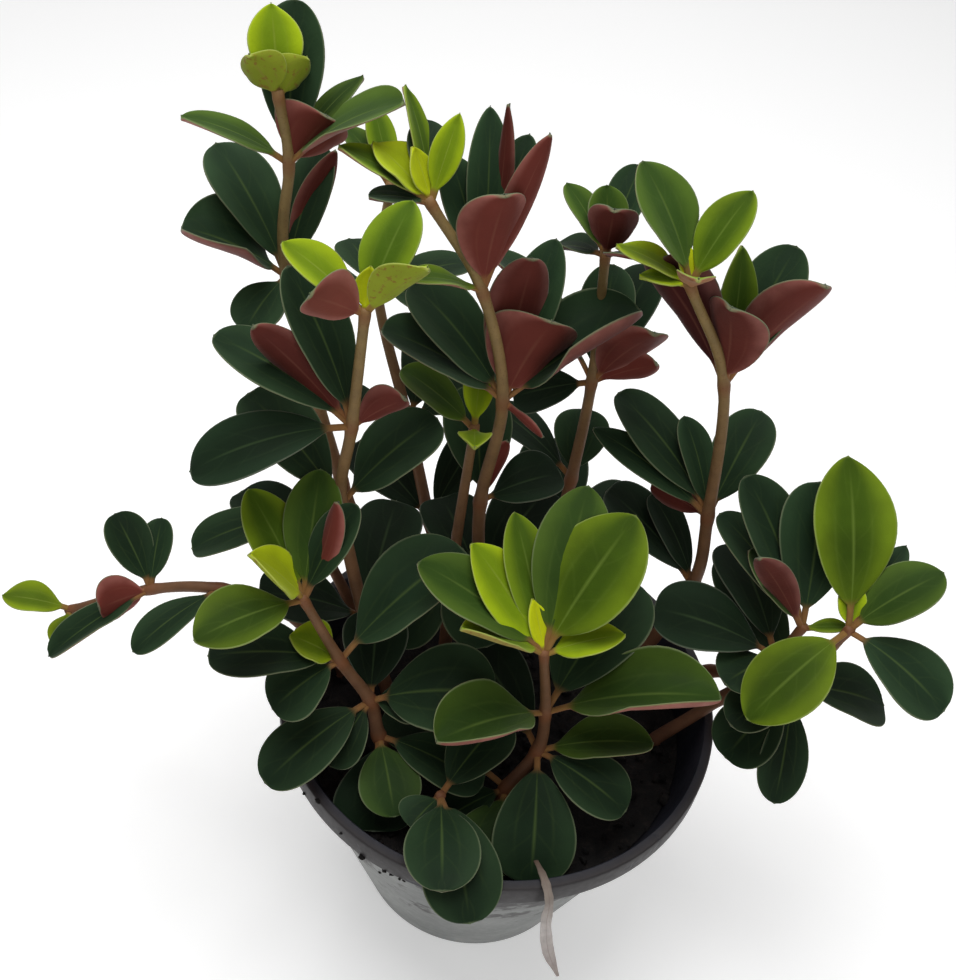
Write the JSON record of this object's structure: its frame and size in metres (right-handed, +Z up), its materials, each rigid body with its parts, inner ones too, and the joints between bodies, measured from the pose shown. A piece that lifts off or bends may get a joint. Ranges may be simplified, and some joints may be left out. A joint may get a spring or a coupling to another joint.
{
  "type": "potted peperomia",
  "caption": "Bushy potted plant with tall leafy stems and waxy oval leaves, green above and red beneath, in a round thin-walled nursery pot.",
  "frame": {"origin": "centre of the pot's flat underside", "axes": "+Z up along the pot's axis, -Y towards the front of the plant, +X to its right"},
  "size_m": [0.2425, 0.1499, 0.248],
  "materials": {
    "pot_plastic": "thin dark plastic, dull",
    "potting_mix": "damp, dark and crumbly",
    "foliage": "waxy green leaves, red beneath",
    "dry_leaf": "papery and pale"
  },
  "bodies": {
    "root": {"pot": "pot_plastic", "soil": "potting_mix", "withered_leaf": "dry_leaf", "shoot_front": "foliage", "shoot_front_left": "foliage", "shoot_front_low": "foliage", "shoot_right_front": "foliage", "shoot_right_inner": "foliage", "shoot_trailing_left": "foliage", "shoot_middle_left": "foliage", "shoot_low_centre": "foliage", "shoot_centre": "foliage", "shoot_right": "foliage", "shoot_back_left": "foliage", "shoot_behind_right": "foliage", "shoot_left_back": "foliage", "shoot_back_centre": "foliage"}
  },
  "joints": []
}
